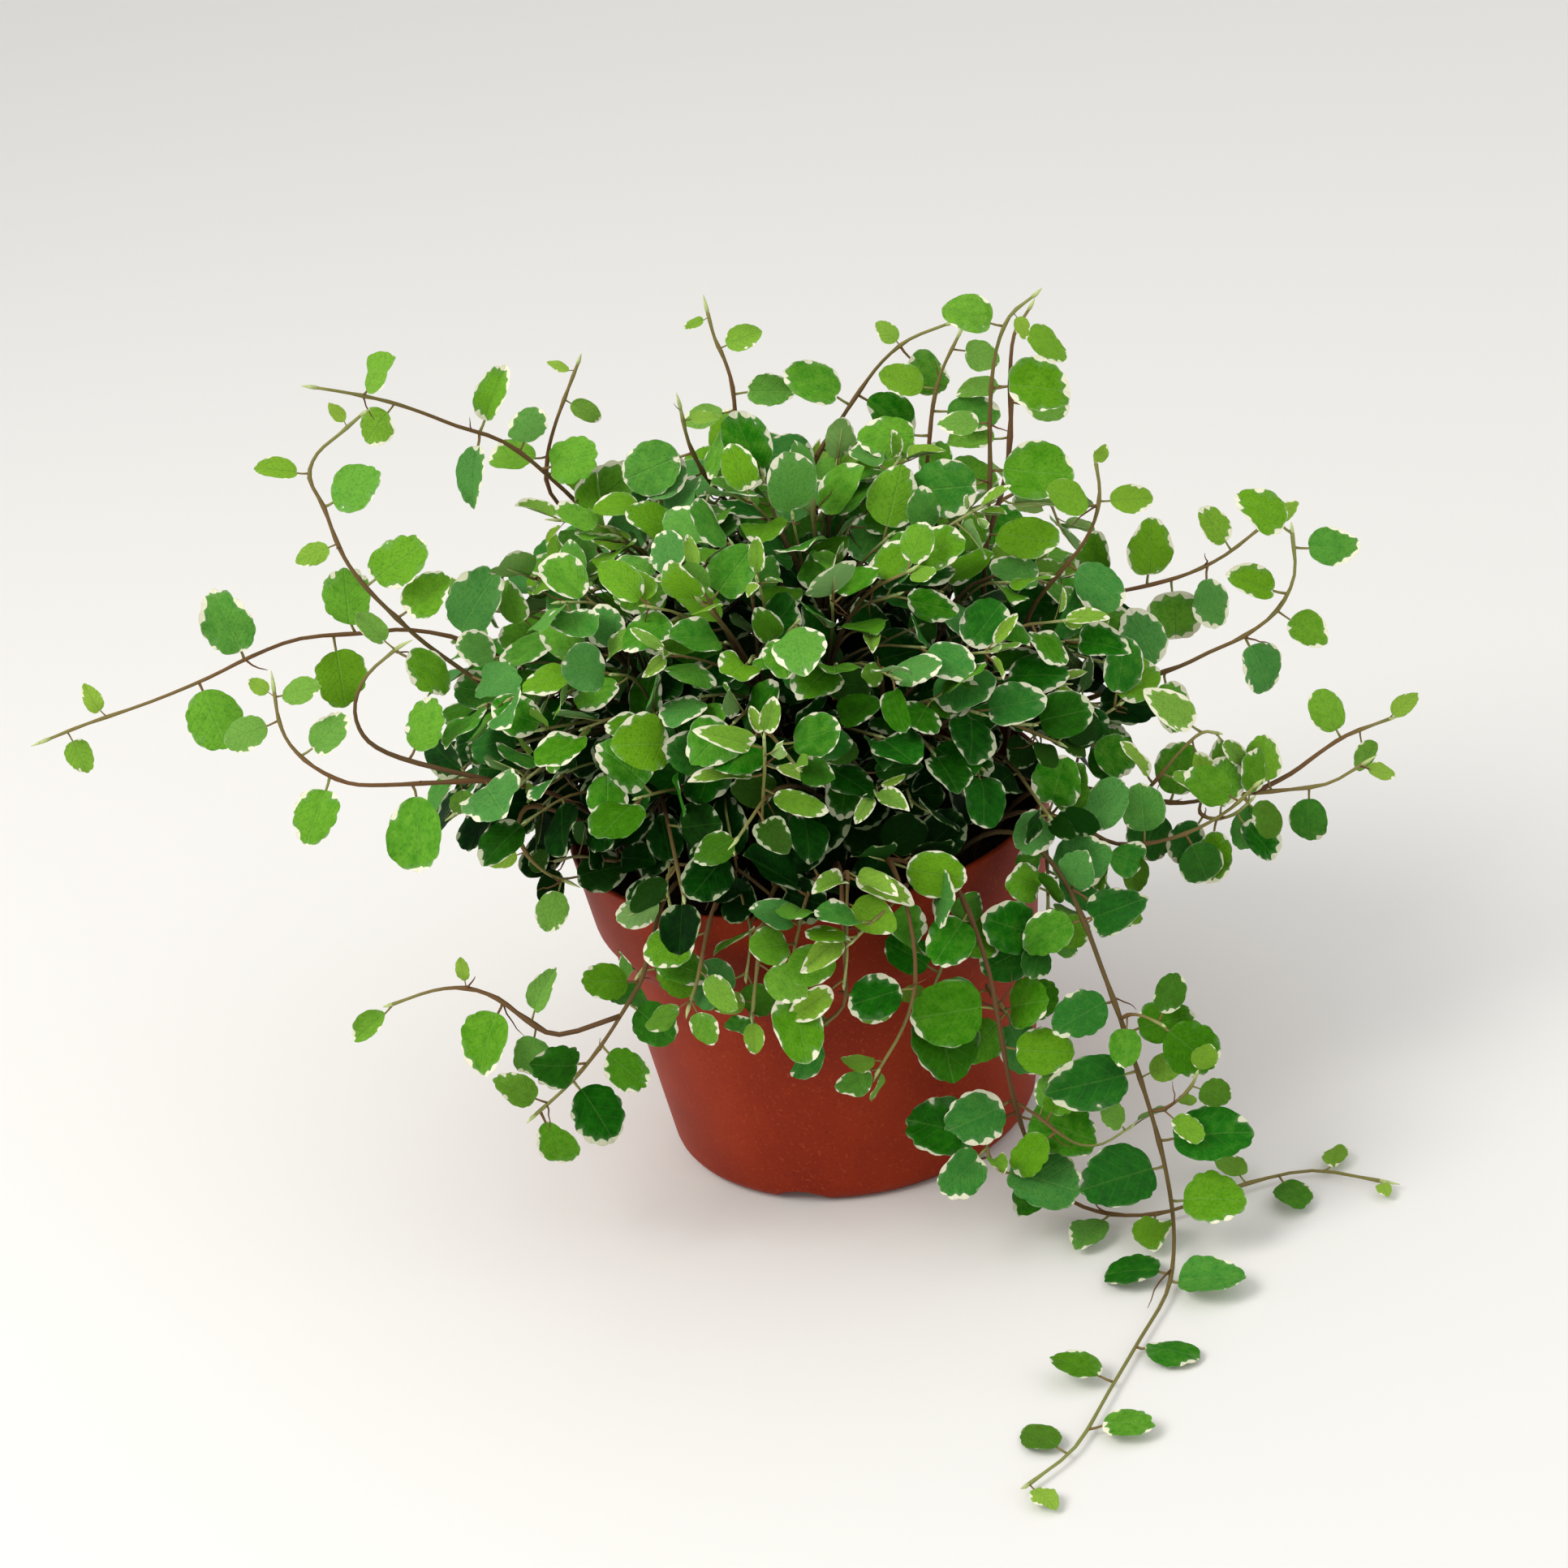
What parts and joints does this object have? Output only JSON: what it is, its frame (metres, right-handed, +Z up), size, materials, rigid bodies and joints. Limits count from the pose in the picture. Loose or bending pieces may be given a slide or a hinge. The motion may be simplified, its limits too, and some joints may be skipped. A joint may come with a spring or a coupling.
{
  "type": "potted creeping fig",
  "caption": "Small-leaved variegated creeping fig that mounds over a tapered plastic nursery pot, with thin leafy runners arching out and trailing onto the surface.",
  "frame": {"origin": "middle of the pot's flat underside, on the surface that the pot stands on", "axes": "+Z up; the side with the long trailing runner faces -Y; +X to the right as seen from that side"},
  "size_m": [0.3238, 0.2883, 0.2189],
  "materials": {
    "terracotta_plastic": "moulded, fine matte grain, terracotta red-brown",
    "peat_soil": "moist crumbly peat compost, nearly black",
    "fig_foliage": "leathery matte leaf, mid green with cream edges, on thin brown stems"
  },
  "bodies": {
    "root": {"pot": "terracotta_plastic", "soil": "peat_soil", "runner_far_left": "fig_foliage", "runner_upper_left": "fig_foliage", "runner_left_curve": "fig_foliage", "runner_left_curl": "fig_foliage", "runner_left_rim": "fig_foliage", "runner_lower_left": "fig_foliage", "sprig_top_left": "fig_foliage", "sprig_top_middle": "fig_foliage", "sprig_top_right": "fig_foliage", "sprig_tall": "fig_foliage", "sprig_upright": "fig_foliage", "sprig_right": "fig_foliage", "runner_right": "fig_foliage", "runner_right_back": "fig_foliage", "runner_lower_right": "fig_foliage", "runner_low_right": "fig_foliage", "runner_trailing": "fig_foliage", "runner_floor_right": "fig_foliage", "hanging_front_1": "fig_foliage", "hanging_front_2": "fig_foliage", "hanging_front_3": "fig_foliage", "hanging_front_4": "fig_foliage", "hanging_back_left": "fig_foliage", "hanging_back": "fig_foliage", "hanging_back_right": "fig_foliage", "mound_stem_1": "fig_foliage", "mound_stem_2": "fig_foliage", "mound_stem_3": "fig_foliage", "mound_stem_4": "fig_foliage", "mound_stem_5": "fig_foliage", "mound_stem_6": "fig_foliage", "mound_stem_7": "fig_foliage", "mound_stem_8": "fig_foliage", "mound_stem_9": "fig_foliage", "mound_stem_10": "fig_foliage", "mound_stem_11": "fig_foliage", "mound_stem_12": "fig_foliage", "mound_stem_13": "fig_foliage", "mound_stem_14": "fig_foliage"}
  },
  "joints": []
}
